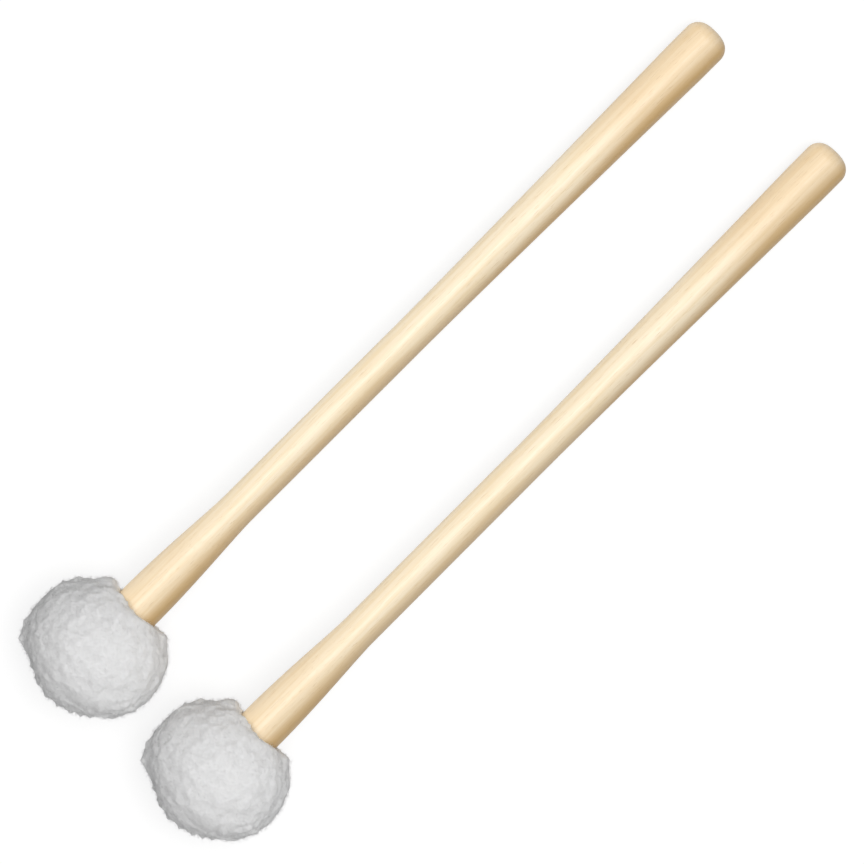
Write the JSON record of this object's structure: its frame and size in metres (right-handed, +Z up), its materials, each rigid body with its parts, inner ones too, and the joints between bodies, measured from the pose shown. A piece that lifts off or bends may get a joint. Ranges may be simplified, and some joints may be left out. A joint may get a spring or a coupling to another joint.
{
  "type": "bass drum mallet pair",
  "caption": "Marching bass drum mallets lying side by side: tapered hickory shafts that flare to round, felt-padded heads with soft fleece covers, for striking a bass drum.",
  "frame": {"origin": "on the surface that the pair lies on, under the middle of its box", "axes": "+X from the butts to the heads, +Y towards the left mallet, +Z up"},
  "size_m": [0.3777, 0.1282, 0.0588],
  "materials": {
    "hickory": "satin lacquer over fine straight grain",
    "core_wood": "turned, unfinished",
    "felt": "dense wool felt",
    "fleece": "soft curly pile",
    "cord": "waxed thread",
    "steel": "zinc plated"
  },
  "bodies": {
    "root": {"left_shaft": "hickory", "left_head_core": "core_wood", "left_clamp_washer": "steel", "left_clamp_screw": "steel", "left_felt_band": "felt", "left_felt_nose_pad": "felt", "left_neck_cord": "cord", "left_fleece_cover": "fleece", "right_shaft": "hickory", "right_head_core": "core_wood", "right_clamp_washer": "steel", "right_clamp_screw": "steel", "right_felt_band": "felt", "right_felt_nose_pad": "felt", "right_neck_cord": "cord", "right_fleece_cover": "fleece"}
  },
  "joints": []
}
